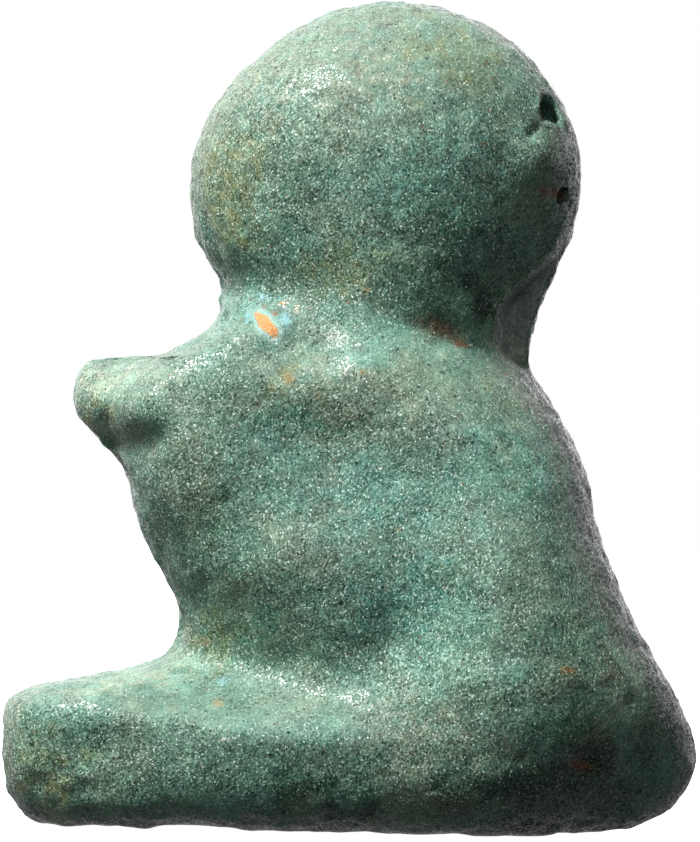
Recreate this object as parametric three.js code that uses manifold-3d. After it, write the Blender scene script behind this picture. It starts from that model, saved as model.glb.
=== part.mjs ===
// A small Egyptian faience amulet: a falcon in profile with a large sun disc on its head, moulded in one
// piece and glazed blue-green. It stands on a long flat foot. Units are millimetres, +Z is up, the bird
// faces -X and -Y is the side with the clearer relief. The origin is in the middle of the underside.
import * as THREE from 'three';
import { mergeVertices } from 'three/addons/utils/BufferGeometryUtils.js';
import Module from 'manifold-3d';

// The sun disc: middle of the disc, half its width, height above its middle, and how far it leans back.
const HEIGHT = 21.88;
const DISC = { x: 0.7, z: 17.04, halfWide: 5.14, halfHigh: HEIGHT - 17.04, lean: 0.038, halfDeep: 3.35 };
// The worn facet on the disc's upper front edge: its height, half its length and its depth.
const DISC_FACET = { z: 20.6, half: 0.9, deep: 0.2 };
// Between these heights the neck's outline, and its thickness, give way to the disc's.
const NECK = { low: 13.7, high: 15.6, deepLow: 12.9, deepHigh: 15.1 };

// The front and back edges of the profile below the disc, as control points [height, x] of smooth lines.
const BREAST_EDGE = [
  [0, -9.05], [1.6, -9.05], [2.6, -9.1], [3.1, -9.1], [3.5, -8.85], [3.75, -7.35], [4.0, -6.3],
  [4.3, -5.05], [4.7, -4.7], [5.3, -4.5], [6.1, -4.6], [7.2, -5.3], [8.4, -5.85], [9.4, -5.9],
  [9.9, -6.45], [10.35, -6.9], [10.8, -7.35], [11.4, -7.5], [12, -7.35], [12.4, -6.9], [12.75, -6.1],
  [13.1, -5], [13.6, -3.85], [14.2, -3.4], [15, -3.75], [15.6, -4.15],
];
// Over the beak the front edge is notched: how far it draws in, as control points [height, inset], and
// how far inside the notch the sides are rounded, as a share of that inset.
const NOTCH = {
  inset: [
    [12.2, 0], [12.3, 0.1], [12.36, 1], [12.42, 1.8], [12.75, 1.55], [13.1, 1.2], [13.45, 0.55],
    [13.9, 0],
  ],
  round: 0.8,
};
const BACK_EDGE = [
  [0, 9.15], [2.2, 9.3], [3.4, 8.85], [5, 7.85], [6.6, 7], [8.2, 6.4], [9.4, 6.25], [10.8, 5.6],
  [12, 4.6], [13, 4.5], [14, 4.9], [15, 5.35], [15.6, 5.55],
];
// Half the thickness of the body at its thickest, as control points [height, half thickness].
const BODY_DEPTH = [
  [0, 4.05], [1.4, 4.1], [2.6, 4.05], [3.6, 3.95], [4.8, 3.75], [6.2, 3.85], [8.5, 4], [10.8, 3.95],
  [12.1, 3.8], [12.9, 3.3], [13.6, 3], [14.4, 2.95], [15.2, 2.95],
];
// How square the cross-sections are, as control points [height, exponent]: 2 is an ellipse.
const SQUARENESS = [[0, 5], [2.8, 4.8], [4.6, 3.2], [7, 2.5], [12, 2.35], [16, 2.3], [HEIGHT, 2.3]];

// The worn lower edge of the foot: how far it draws in at the floor and how high the rounding reaches.
const FOOT_ROUND = {
  toe: { reach: 1.1, high: 1.8 },
  heel: { reach: 2.7, high: 2.1 },
  side: { reach: 1.7, high: 1.9 },
};

// The beak is narrower than the body: how deep, tall and long its rounded tip is, how fast it widens
// towards the head, and how the narrowing dies away above and below it.
const BEAK = { x: -6.35, z: 11.3, deep: 1.3, tall: 1.2, tip: 1.15, flare: 1.6, least: 0.15 };
const BEAK_FADE = [{ rise: 1.5, from: 0.8, to: 3.5 }, { rise: 3, from: 2.5, to: 5 }];
// Behind the round neck a thinner web of faience joins the disc to the back, and a smaller one the front.
// Each starts at an edge line, given as control points [height, x], and fades out at the given heights.
const BACK_WEB = {
  halfDeep: 2,
  fade: [12.2, 11],
  edge: [[11.4, 5.2], [12.2, 4.2], [13.2, 3.5], [14.3, 4.1], [15.3, 5.1], [16.4, 6.6]],
};
const FRONT_WEB = {
  halfDeep: 1.5,
  fade: [13.4, 12.6],
  edge: [[13.2, -4.3], [14, -3.2], [15.2, -3.7], [16.6, -4.3], [17.6, -5.2]],
};
const WEB_SLOPE = 3;

// The modelling of the sides, each as one soft swelling (rise above 0) or hollow (rise below 0):
// rise, middle x and z, half-width and half-height, and its turn in degrees.
const MODELLING = {
  discBrow: [0.37, -1.25, 18.7, 3.1, 2.3, 0],
  discUnderCheek: [-0.55, 4.65, 14.8, 1.85, 3.3, 7],
  cordBar: [0.32, 4.85, 17.75, 0.75, 0.8, 0],
  shoulderFront: [0.54, -2.8, 13.1, 1.45, 0.85, 7],
  shoulderTop: [0.43, 0.3, 12.95, 1.35, 1.3, 0],
  shoulderFall: [-0.39, -0.55, 12.85, 3.65, 0.7, 4],
  shoulderBack: [0.4, 3.25, 10.9, 2.1, 1.5, -6],
  napeFall: [-0.49, 3.5, 12.6, 1.8, 0.55, -19],
  beakRoot: [0.72, -5.95, 11, 0.8, 1.05, -5],
  breast: [0.58, -4.8, 9.3, 1.45, 1.3, 0],
  wingTopGroove: [-0.28, -0.85, 10.2, 2.8, 0.9, -9],
  wingBackGroove: [-0.13, 2.05, 8.5, 1.05, 2.4, -8],
  wingHollow: [-0.19, -1, 8.7, 2.3, 1.05, 2],
  wingBoss: [0.13, -1.6, 7.3, 1, 1.1, 0],
  wingTip: [-0.34, 1.1, 5, 1.05, 1.25, -35],
  thighHollow: [-1.27, -3.45, 4.1, 3.25, 1.1, -3],
  thighCrease: [-0.37, -3.35, 5.45, 1.65, 1, -3],
  footLedge: [0.44, -2.3, 2.9, 3.6, 0.85, -6],
  toeLedge: [0.13, -5.7, 3.1, 1.55, 0.5, 8],
  toe: [-0.48, -7.6, 1.05, 2.3, 1.3, 11],
  tailSwell: [0.96, 4.65, 6.8, 2.3, 3.2, 18],
  tailFoot: [0.48, 3.25, 3.9, 2.4, 1.5, -19],
  tailHollow: [-1.6, 8, 1.3, 3.3, 1.85, 33],
};
// The modelling dies away where the body gets thinner than this, and is fainter on the far side.
const MODELLING_FADE = 1.6;
const FAR_SIDE = 0.55;

// The channel for the cord: a fine tunnel that dips behind a bar of faience on the disc's back edge.
const CORD_HOLE = {
  radius: 0.32,
  path: [
    [5.05, -2.3, 19.75], [4.9, -1.55, 19.05], [4.85, -1.15, 18.4], [4.92, -1.05, 17.7],
    [5.15, -1.15, 17.1], [5.4, -1.6, 16.65], [5.8, -2.4, 16.1],
  ],
  sides: 10,
  steps: 16,
};

// Width over which the corners between these forms are rounded.
const SOFTNESS = 0.5;

const ROWS = 48;
const COLUMNS = 44;
// Points worked out in each span of a smooth line, and steps used to measure the outline's length.
const PER_SPAN = 24;
const OUTLINE_STEPS = 3000;
// Half thickness kept just inside the outline, so that the two sides never touch.
const LEAST_THICK = 0.02;
// Points closer together than this are taken as one.
const SAME_POINT = 1e-5;
const GLAZE = { color: 0x6f9686, roughness: 0.5, metalness: 0 };

// A smooth line near its control points: a uniform cubic B-spline, tabulated as height to value.
function smoothLine(points) {
  const first = points[0];
  const last = points[points.length - 1];
  const before = [2 * first[0] - points[1][0], 2 * first[1] - points[1][1]];
  const beyond = points[points.length - 2];
  const after = [2 * last[0] - beyond[0], 2 * last[1] - beyond[1]];
  const control = [before, ...points, after];
  const spans = points.length - 1;
  const table = [];
  for (let i = 0; i <= spans * PER_SPAN; i += 1) {
    const k = Math.min(Math.floor(i / PER_SPAN), spans - 1);
    const f = i / PER_SPAN - k;
    const weights = [(1 - f) ** 3, 3 * f ** 3 - 6 * f ** 2 + 4, -3 * f ** 3 + 3 * f ** 2 + 3 * f + 1, f ** 3];
    const point = [0, 0];
    weights.forEach((w, j) => {
      point[0] += (w / 6) * control[k + j][0];
      point[1] += (w / 6) * control[k + j][1];
    });
    table.push(point);
  }
  return (z) => interpolate(table, z);
}

function interpolate(table, z) {
  if (z <= table[0][0]) return table[0][1];
  for (let i = 1; i < table.length; i += 1) {
    const [z1, v1] = table[i];
    if (z <= z1) {
      const [z0, v0] = table[i - 1];
      return v0 + ((v1 - v0) * (z - z0)) / (z1 - z0);
    }
  }
  return table[table.length - 1][1];
}

function smoothStep(low, high, value) {
  const t = Math.min(Math.max((value - low) / (high - low), 0), 1);
  return t * t * (3 - 2 * t);
}

// The smaller of two values, with the corner between them rounded over the given width.
function softMin(a, b, width) {
  const h = Math.min(Math.max(0.5 + (0.5 * (b - a)) / width, 0), 1);
  return b * (1 - h) + a * h - width * h * (1 - h);
}

function mix(a, b, share) {
  return a * (1 - share) + b * share;
}

const breastEdge = smoothLine(BREAST_EDGE);
const notchInset = smoothLine(NOTCH.inset);
const backEdge = smoothLine(BACK_EDGE);
const bodyDepth = smoothLine(BODY_DEPTH);
const squareness = smoothLine(SQUARENESS);
const backWebEdge = smoothLine(BACK_WEB.edge);
const frontWebEdge = smoothLine(FRONT_WEB.edge);

// How far an edge of the foot is drawn in at a height: a quarter of an ellipse.
function footInset(round, z) {
  if (z >= round.high) return 0;
  const t = (round.high - z) / round.high;
  return round.reach * (1 - Math.sqrt(1 - t * t));
}

// The disc's half-width at a height, as a share of its widest.
function discShare(z, power) {
  const t = Math.min(Math.abs((z - DISC.z) / DISC.halfHigh), 1);
  return (1 - t ** power) ** (1 / power);
}

// Left and right ends of the profile at a height, and how much of the left end the notch takes off.
function profile(z) {
  const lean = DISC.lean * (z - DISC.z);
  const half = DISC.halfWide * discShare(z, 2);
  const share = smoothStep(NECK.low, NECK.high, z);
  const facet = DISC_FACET.deep * Math.exp(-(((z - DISC_FACET.z) / DISC_FACET.half) ** 2));
  const discLeft = DISC.x + lean - half + facet;
  const front = mix(breastEdge(z) + footInset(FOOT_ROUND.toe, z), discLeft, share);
  const notch = notchInset(z);
  const right = mix(backEdge(z) - footInset(FOOT_ROUND.heel, z), DISC.x + lean + half, share);
  return { left: front + notch, right, notch };
}

// Half thickness at the middle of a height.
function fullDepth(z) {
  const body = bodyDepth(z) - footInset(FOOT_ROUND.side, z);
  const disc = DISC.halfDeep * discShare(z, squareness(z));
  return mix(body, disc, smoothStep(NECK.deepLow, NECK.deepHigh, z));
}

// Sum of the swellings and hollows at a point of the side.
function modelling(x, z) {
  let rise = 0;
  Object.values(MODELLING).forEach(([amount, cx, cz, wide, high, turn]) => {
    const c = Math.cos(THREE.MathUtils.degToRad(turn));
    const s = Math.sin(THREE.MathUtils.degToRad(turn));
    const u = ((x - cx) * c + (z - cz) * s) / wide;
    const v = (-(x - cx) * s + (z - cz) * c) / high;
    rise += amount * Math.exp(-(u * u + v * v));
  });
  return rise;
}

// How thick the figure may be near the beak: a rounded tip that widens towards the head.
function beakLimit(x, z) {
  const away = Math.abs(z - BEAK.z);
  const past = Math.min(Math.max(BEAK.x - x, 0) / BEAK.tip, 1);
  const tip = BEAK.deep * Math.exp(-((away / BEAK.tall) ** 2)) * Math.sqrt(1 - past * past);
  const fade = BEAK_FADE.reduce((sum, { rise, from, to }) => sum + rise * smoothStep(from, to, away), 0);
  return tip + BEAK.flare * Math.max(x - BEAK.x, 0) + fade + BEAK.least;
}

// How thick the figure may be at a web of the neck, by the distance inside the web's edge line.
function webLimit(web, inside, z) {
  const [from, to] = web.fade;
  return web.halfDeep + WEB_SLOPE * (Math.max(inside, 0) + smoothStep(from, to, z));
}

// A quarter round inside the notch: 0 at its edge and 1 from its rounding's width inwards.
function notchRound(inside, notch) {
  if (notch <= 0) {
    return 1;
  }
  const t = 1 - Math.min(Math.max(inside, 0) / (NOTCH.round * notch), 1);
  return Math.sqrt(1 - t * t);
}

// Half thickness at a point inside the profile: a superellipse across each height, rounded off at the
// notch, thinned at the beak and the two webs of the neck, then modelled.
function halfThickness(x, z, { left, right, notch }, strength) {
  const front = left - notch;
  const t = Math.min(Math.abs((2 * x - front - right) / (right - front)), 1);
  const n = squareness(z);
  let thick = fullDepth(z) * (1 - t ** n) ** (1 / n) * notchRound(x - left, notch);
  thick = softMin(thick, beakLimit(x, z), SOFTNESS);
  thick = softMin(thick, webLimit(BACK_WEB, backWebEdge(z) - x, z), SOFTNESS);
  thick = softMin(thick, webLimit(FRONT_WEB, x - frontWebEdge(z), z), SOFTNESS);
  return thick + strength * modelling(x, z) * smoothStep(0, MODELLING_FADE, thick);
}

// Heights of the rows, equal steps apart along the outline, so that the ledge and the beak get more.
function rowHeights() {
  const heights = [];
  const lengths = [0];
  for (let i = 0; i <= OUTLINE_STEPS; i += 1) {
    heights.push((HEIGHT * (1 - Math.cos((Math.PI * i) / OUTLINE_STEPS))) / 2);
  }
  for (let i = 1; i <= OUTLINE_STEPS; i += 1) {
    const low = profile(heights[i - 1]);
    const high = profile(heights[i]);
    const sideways = (Math.abs(high.left - low.left) + Math.abs(high.right - low.right)) / 2;
    lengths.push(lengths[i - 1] + Math.hypot(heights[i] - heights[i - 1], sideways));
  }
  const table = lengths.map((length, i) => [length, heights[i]]);
  const rows = [];
  for (let i = 0; i < ROWS; i += 1) {
    rows.push(interpolate(table, (lengths[OUTLINE_STEPS] * i) / ROWS));
  }
  return rows;
}

// The closed skin: rings of points up the figure, a flat underside and a crown point on the disc.
function skin() {
  const points = [];
  const faces = [];
  const ring = 2 * COLUMNS;
  const rows = rowHeights();
  rows.forEach((z) => {
    const ends = profile(z);
    const middle = (ends.left + ends.right) / 2;
    const half = (ends.right - ends.left) / 2;
    for (let j = 0; j < ring; j += 1) {
      const x = middle - half * Math.cos((Math.PI * j) / COLUMNS);
      const near = j < COLUMNS;
      const atEnd = j % COLUMNS === 0;
      const thick = atEnd ? 0 : Math.max(halfThickness(x, z, ends, near ? 1 : FAR_SIDE), LEAST_THICK);
      points.push(x, near ? -thick : thick, z);
    }
  });
  const crown = points.length / 3;
  points.push(DISC.x + DISC.lean * DISC.halfHigh, 0, HEIGHT);
  for (let i = 0; i < rows.length - 1; i += 1) {
    for (let j = 0; j < ring; j += 1) {
      const a = i * ring + j;
      const b = i * ring + ((j + 1) % ring);
      faces.push(a, b, b + ring, a, b + ring, a + ring);
    }
  }
  const top = (rows.length - 1) * ring;
  for (let j = 0; j < ring; j += 1) {
    faces.push(top + j, top + ((j + 1) % ring), crown);
  }
  for (let j = 0; j < COLUMNS; j += 1) {
    const a = j;
    const b = j + 1;
    const farA = (ring - j) % ring;
    const farB = ring - j - 1;
    if (j > 0) faces.push(a, farA, b);
    if (j < COLUMNS - 1) faces.push(b, farA, farB);
  }
  const geometry = new THREE.BufferGeometry();
  geometry.setAttribute('position', new THREE.Float32BufferAttribute(points, 3));
  geometry.setIndex(faces);
  return geometry;
}

function cordTunnel() {
  const curve = new THREE.CatmullRomCurve3(CORD_HOLE.path.map((p) => new THREE.Vector3(...p)));
  const section = new THREE.Shape();
  for (let i = 0; i < CORD_HOLE.sides; i += 1) {
    const angle = (2 * Math.PI * i) / CORD_HOLE.sides;
    const corner = [CORD_HOLE.radius * Math.cos(angle), CORD_HOLE.radius * Math.sin(angle)];
    if (i === 0) section.moveTo(...corner);
    else section.lineTo(...corner);
  }
  section.closePath();
  return new THREE.ExtrudeGeometry(section, {
    steps: CORD_HOLE.steps,
    extrudePath: curve,
    bevelEnabled: false,
  });
}

const wasm = await Module();
wasm.setup();

function toSolid(geometry) {
  const bare = geometry.clone();
  bare.deleteAttribute('normal');
  bare.deleteAttribute('uv');
  const merged = mergeVertices(bare, SAME_POINT);
  return new wasm.Manifold(new wasm.Mesh({
    numProp: 3,
    vertProperties: new Float32Array(merged.attributes.position.array),
    triVerts: new Uint32Array(merged.index.array),
  }));
}

function toGeometry(solid) {
  const mesh = solid.getMesh();
  const geometry = new THREE.BufferGeometry();
  geometry.setAttribute('position', new THREE.BufferAttribute(mesh.vertProperties, 3));
  geometry.setIndex(new THREE.BufferAttribute(mesh.triVerts, 1));
  geometry.computeVertexNormals();
  return geometry;
}

// The finished figure, moved so that the origin lies under the middle of its box.
function amulet() {
  const geometry = toGeometry(toSolid(skin()).subtract(toSolid(cordTunnel())));
  geometry.computeBoundingBox();
  const middle = geometry.boundingBox.getCenter(new THREE.Vector3());
  geometry.translate(-middle.x, -middle.y, 0);
  const mesh = new THREE.Mesh(geometry, new THREE.MeshStandardMaterial(GLAZE));
  mesh.name = 'horus_amulet';
  return mesh;
}

const part = new THREE.Group();
part.add(amulet());

export default part;
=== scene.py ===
"""A small Egyptian faience amulet, a falcon in profile with a large sun disc on its head.

The script works in metres in the part's own frame: +Z up through the disc, the beak to -X, the side with
the clearer relief to -Y, the origin in the middle of the underside.
"""

import bpy
import numpy as np
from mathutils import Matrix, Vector


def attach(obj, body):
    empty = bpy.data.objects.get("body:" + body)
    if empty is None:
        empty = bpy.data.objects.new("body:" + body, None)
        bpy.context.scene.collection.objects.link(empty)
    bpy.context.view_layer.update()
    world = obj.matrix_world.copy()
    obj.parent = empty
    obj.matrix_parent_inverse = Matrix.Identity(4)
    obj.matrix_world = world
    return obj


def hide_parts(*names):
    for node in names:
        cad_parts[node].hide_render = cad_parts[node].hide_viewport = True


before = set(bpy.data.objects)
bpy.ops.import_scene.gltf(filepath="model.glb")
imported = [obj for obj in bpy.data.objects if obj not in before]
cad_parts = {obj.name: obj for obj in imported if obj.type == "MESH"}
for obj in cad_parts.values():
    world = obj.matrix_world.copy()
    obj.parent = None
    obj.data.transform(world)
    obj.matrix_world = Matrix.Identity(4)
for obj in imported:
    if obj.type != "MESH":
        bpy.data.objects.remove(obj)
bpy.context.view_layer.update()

# The amulet: one piece of faience, which is crushed quartz pressed into a mould and fired with a
# copper glaze. It is worn and handled, so that every edge is round and the relief of the wing is faint.
# Sizes are millimetres here and in the sections below; the meshes are made in metres.
MM = 0.001
HEIGHT = 21.88
DISC = {
    "x": 0.7, "z": 17.04, "half_wide": 5.14, "half_high": HEIGHT - 17.04, "half_deep": 3.35, "lean": 0.038,
}
DISC_FACET = {"z": 20.6, "half": 0.9, "deep": 0.2}
NECK = {"low": 13.7, "high": 15.6, "deep_low": 12.9, "deep_high": 15.1}

# Control points (height, x) of the profile's front and back edges below the disc.
BREAST_EDGE = [
    (0, -9.05), (1.6, -9.05), (2.6, -9.1), (3.1, -9.1), (3.5, -8.85), (3.75, -7.35), (4.0, -6.3),
    (4.3, -5.05), (4.7, -4.7), (5.3, -4.5), (6.1, -4.6), (7.2, -5.3), (8.4, -5.85), (9.4, -5.9),
    (9.9, -6.45), (10.35, -6.9), (10.8, -7.35), (11.4, -7.5), (12, -7.35), (12.4, -6.9), (12.75, -6.1),
    (13.1, -5), (13.6, -3.85), (14.2, -3.4), (15, -3.75), (15.6, -4.15),
]
# The notch over the beak: control points (height, how far the edge draws in), and the share of that
# inset over which the sides are rounded inside it.
NOTCH = [
    (12.2, 0), (12.3, 0.1), (12.36, 1), (12.42, 1.8), (12.75, 1.55), (13.1, 1.2), (13.45, 0.55), (13.9, 0),
]
NOTCH_ROUND = 0.8
# The beak's rounded top: its height, how deep the rounding goes, and over which x and which heights it
# dies away to the head.
BEAK_TOP = {"z": 12.37, "deep": 0.6, "back": (-5.6, -4.8), "above": (12.38, 12.6)}
BACK_EDGE = [
    (0, 9.15), (2.2, 9.3), (3.4, 8.85), (5, 7.85), (6.6, 7), (8.2, 6.4), (9.4, 6.25), (10.8, 5.6),
    (12, 4.6), (13, 4.5), (14, 4.9), (15, 5.35), (15.6, 5.55),
]
# Control points (height, half thickness) of the body, and (height, exponent) of its cross-sections.
BODY_DEPTH = [
    (0, 4.05), (1.4, 4.1), (2.6, 4.05), (3.6, 3.95), (4.8, 3.75), (6.2, 3.85), (8.5, 4), (10.8, 3.95),
    (12.1, 3.8), (12.9, 3.3), (13.6, 3), (14.4, 2.95), (15.2, 2.95),
]
SQUARENESS = [(0, 5), (2.8, 4.8), (4.6, 3.2), (7, 2.5), (12, 2.35), (16, 2.3), (HEIGHT, 2.3)]
# The worn lower edge of the foot: (how far it draws in at the floor, how high the rounding reaches).
FOOT_ROUND = {"toe": (1.1, 1.8), "heel": (2.7, 2.1), "side": (1.7, 1.9)}
BEAK = {"x": -6.35, "z": 11.3, "deep": 1.3, "tall": 1.2, "tip": 1.15, "flare": 1.6, "least": 0.15}
BEAK_FADE = [(1.5, 0.8, 3.5), (3, 2.5, 5)]
# The thinner webs behind the round neck: half thickness, heights of the fade, and the edge line.
BACK_WEB = (2, (12.2, 11), [(11.4, 5.2), (12.2, 4.2), (13.2, 3.5), (14.3, 4.1), (15.3, 5.1), (16.4, 6.6)])
FRONT_WEB = (1.5, (13.4, 12.6), [(13.2, -4.3), (14, -3.2), (15.2, -3.7), (16.6, -4.3), (17.6, -5.2)])
WEB_SLOPE = 3
SOFTNESS = 0.5

# Swellings and hollows of the sides: rise, middle x and z, half-width, half-height, turn in degrees.
MODELLING = {
    "disc_brow": (0.37, -1.25, 18.7, 3.1, 2.3, 0),
    "disc_under_cheek": (-0.55, 4.65, 14.8, 1.85, 3.3, 7),
    "cord_bar": (0.32, 4.85, 17.75, 0.75, 0.8, 0),
    "shoulder_front": (0.54, -2.8, 13.1, 1.45, 0.85, 7),
    "shoulder_top": (0.43, 0.3, 12.95, 1.35, 1.3, 0),
    "shoulder_fall": (-0.39, -0.55, 12.85, 3.65, 0.7, 4),
    "shoulder_back": (0.4, 3.25, 10.9, 2.1, 1.5, -6),
    "nape_fall": (-0.49, 3.5, 12.6, 1.8, 0.55, -19),
    "beak_root": (0.72, -5.95, 11, 0.8, 1.05, -5),
    "breast": (0.58, -4.8, 9.3, 1.45, 1.3, 0),
    "wing_top_groove": (-0.28, -0.85, 10.2, 2.8, 0.9, -9),
    "wing_back_groove": (-0.13, 2.05, 8.5, 1.05, 2.4, -8),
    "wing_hollow": (-0.19, -1, 8.7, 2.3, 1.05, 2),
    "wing_boss": (0.13, -1.6, 7.3, 1, 1.1, 0),
    "wing_tip": (-0.34, 1.1, 5, 1.05, 1.25, -35),
    "thigh_hollow": (-1.27, -3.45, 4.1, 3.25, 1.1, -3),
    "thigh_crease": (-0.37, -3.35, 5.45, 1.65, 1, -3),
    "foot_ledge": (0.44, -2.3, 2.9, 3.6, 0.85, -6),
    "toe_ledge": (0.13, -5.7, 3.1, 1.55, 0.5, 8),
    "toe": (-0.48, -7.6, 1.05, 2.3, 1.3, 11),
    "tail_swell": (0.96, 4.65, 6.8, 2.3, 3.2, 18),
    "tail_foot": (0.48, 3.25, 3.9, 2.4, 1.5, -19),
    "tail_hollow": (-1.6, 8, 1.3, 3.3, 1.85, 33),
}
MODELLING_FADE = 1.6
FAR_SIDE = 0.55

# The grid of the skin: rows up the figure, columns over the near and the far side, rings underneath.
ROWS = 290
NEAR_COLUMNS = 190
FAR_COLUMNS = 118
UNDER_RINGS = 10
LEAST_THICK = 0.02
FINE_ROWS = 6001


def smooth_line(points, steps=24):
    """A uniform cubic B-spline near its control points, as a function from height to value."""
    p = np.array(points, float)
    c = np.vstack([2 * p[0] - p[1], p, 2 * p[-1] - p[-2]])
    u = np.linspace(0, len(p) - 1, steps * (len(p) - 1) + 1)
    k = np.minimum(u.astype(int), len(p) - 2)
    f = (u - k)[:, None]
    line = (
        (1 - f) ** 3 * c[k]
        + (3 * f**3 - 6 * f**2 + 4) * c[k + 1]
        + (-3 * f**3 + 3 * f**2 + 3 * f + 1) * c[k + 2]
        + f**3 * c[k + 3]
    ) / 6
    return lambda z: np.interp(z, line[:, 0], line[:, 1])


def smooth_step(low, high, value):
    """0 below low and 1 above high, with the cubic 3t^2 - 2t^3 between."""
    t = np.clip((value - low) / (high - low), 0, 1)
    return t * t * (3 - 2 * t)


def soft_min(a, b, width):
    """The smaller of a and b, with the corner between them rounded over width."""
    h = np.clip(0.5 + 0.5 * (b - a) / width, 0, 1)
    return b * (1 - h) + a * h - width * h * (1 - h)


def mix(a, b, share):
    """a where share is 0, b where it is 1, and a straight blend between."""
    return a * (1 - share) + b * share


breast_edge = smooth_line(BREAST_EDGE)
notch_inset = smooth_line(NOTCH)
back_edge = smooth_line(BACK_EDGE)
body_depth = smooth_line(BODY_DEPTH)
squareness = smooth_line(SQUARENESS)
back_web_edge = smooth_line(BACK_WEB[2])
front_web_edge = smooth_line(FRONT_WEB[2])


def foot_inset(rounding, z):
    """How far the foot's edge draws in at a height: a quarter of an ellipse, (reach, high)."""
    reach, high = rounding
    t = np.clip((high - z) / high, 0, 1)
    return reach * (1 - np.sqrt(1 - t * t))


def disc_share(z, power):
    """The disc's half-width at a height as a share of its widest: (1 - t^p)^(1/p)."""
    t = np.clip(np.abs((z - DISC["z"]) / DISC["half_high"]), 0, 1)
    return (1 - t**power) ** (1 / power)


def profile(z):
    """Left and right ends of the profile: the two edge lines, which give way to the disc's ellipse, and
    how much of the left end the notch takes off."""
    lean = DISC["lean"] * (z - DISC["z"])
    half = DISC["half_wide"] * disc_share(z, 2)
    share = smooth_step(NECK["low"], NECK["high"], z)
    facet = DISC_FACET["deep"] * np.exp(-(((z - DISC_FACET["z"]) / DISC_FACET["half"]) ** 2))
    front = mix(breast_edge(z) + foot_inset(FOOT_ROUND["toe"], z), DISC["x"] + lean - half + facet, share)
    right = mix(back_edge(z) - foot_inset(FOOT_ROUND["heel"], z), DISC["x"] + lean + half, share)
    notch = np.maximum(notch_inset(z), 0)
    return front + notch, right, notch


def full_depth(z):
    """Half thickness at the middle of a height."""
    body = body_depth(z) - foot_inset(FOOT_ROUND["side"], z)
    disc = DISC["half_deep"] * disc_share(z, squareness(z))
    return mix(body, disc, smooth_step(NECK["deep_low"], NECK["deep_high"], z))


def modelling(x, z):
    """The sum of the swellings and hollows: rise times exp(-u^2 - v^2) in each one's turned axes."""
    rise = np.zeros_like(x)
    for amount, cx, cz, wide, high, turn in MODELLING.values():
        c, s = np.cos(np.radians(turn)), np.sin(np.radians(turn))
        u = ((x - cx) * c + (z - cz) * s) / wide
        v = (-(x - cx) * s + (z - cz) * c) / high
        rise += amount * np.exp(-(u * u + v * v))
    return rise


def beak_limit(x, z):
    """How thick the figure may be near the beak: a rounded tip that widens towards the head."""
    away = np.abs(z - BEAK["z"])
    past = np.clip((BEAK["x"] - x) / BEAK["tip"], 0, 1)
    tip = BEAK["deep"] * np.exp(-((away / BEAK["tall"]) ** 2)) * np.sqrt(1 - past * past)
    fade = sum(rise * smooth_step(low, high, away) for rise, low, high in BEAK_FADE)
    return tip + BEAK["flare"] * np.clip(x - BEAK["x"], 0, None) + fade + BEAK["least"]


def web_limit(web, inside, z):
    """How thick the figure may be at a web, by the distance inside the web's edge line."""
    half_deep, (low, high), _ = web
    return half_deep + WEB_SLOPE * (np.clip(inside, 0, None) + smooth_step(low, high, z))


def notch_round(inside, notch):
    """A quarter round inside the notch: sqrt(1 - t^2), 0 at its edge and 1 from its width inwards."""
    t = 1 - np.clip(inside / np.maximum(NOTCH_ROUND * notch, 1e-6), 0, 1)
    return np.sqrt(1 - t * t)


def half_thickness(x, z, left, right, notch, strength):
    """A superellipse across each height, rounded off at the notch, thinned at the beak and the webs,
    plus the modelling."""
    front = left - notch
    t = np.clip(np.abs((2 * x - front - right) / (right - front)), 0, 1)
    n = squareness(z)
    thick = full_depth(z) * (1 - t**n) ** (1 / n) * notch_round(x - left, notch)
    thick = soft_min(thick, beak_limit(x, z), SOFTNESS)
    thick = soft_min(thick, web_limit(BACK_WEB, back_web_edge(z) - x, z), SOFTNESS)
    thick = soft_min(thick, web_limit(FRONT_WEB, x - front_web_edge(z), z), SOFTNESS)
    return thick + strength * modelling(x, z) * smooth_step(0, MODELLING_FADE, thick)


def beak_round(x, z):
    """The beak's top rounded over, as a share of the thickness: sqrt(1 - t^2) up to its top."""
    t = 1 - np.clip((BEAK_TOP["z"] - z) / BEAK_TOP["deep"], 0, 1)
    share = (1 - smooth_step(*BEAK_TOP["back"], x)) * (1 - smooth_step(*BEAK_TOP["above"], z))
    return mix(1, np.sqrt(1 - t * t), share)


def row_heights(count):
    """Heights of the rows, equal steps apart along the outline, so that ledge and beak get more."""
    z = HEIGHT * (1 - np.cos(np.linspace(0, np.pi, FINE_ROWS))) / 2
    left, right, _ = profile(z)
    sideways = (np.abs(np.diff(left)) + np.abs(np.diff(right))) / 2
    length = np.concatenate([[0], np.cumsum(np.hypot(np.diff(z), sideways))])
    return np.interp(np.arange(count) * length[-1] / count, length, z)


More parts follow.
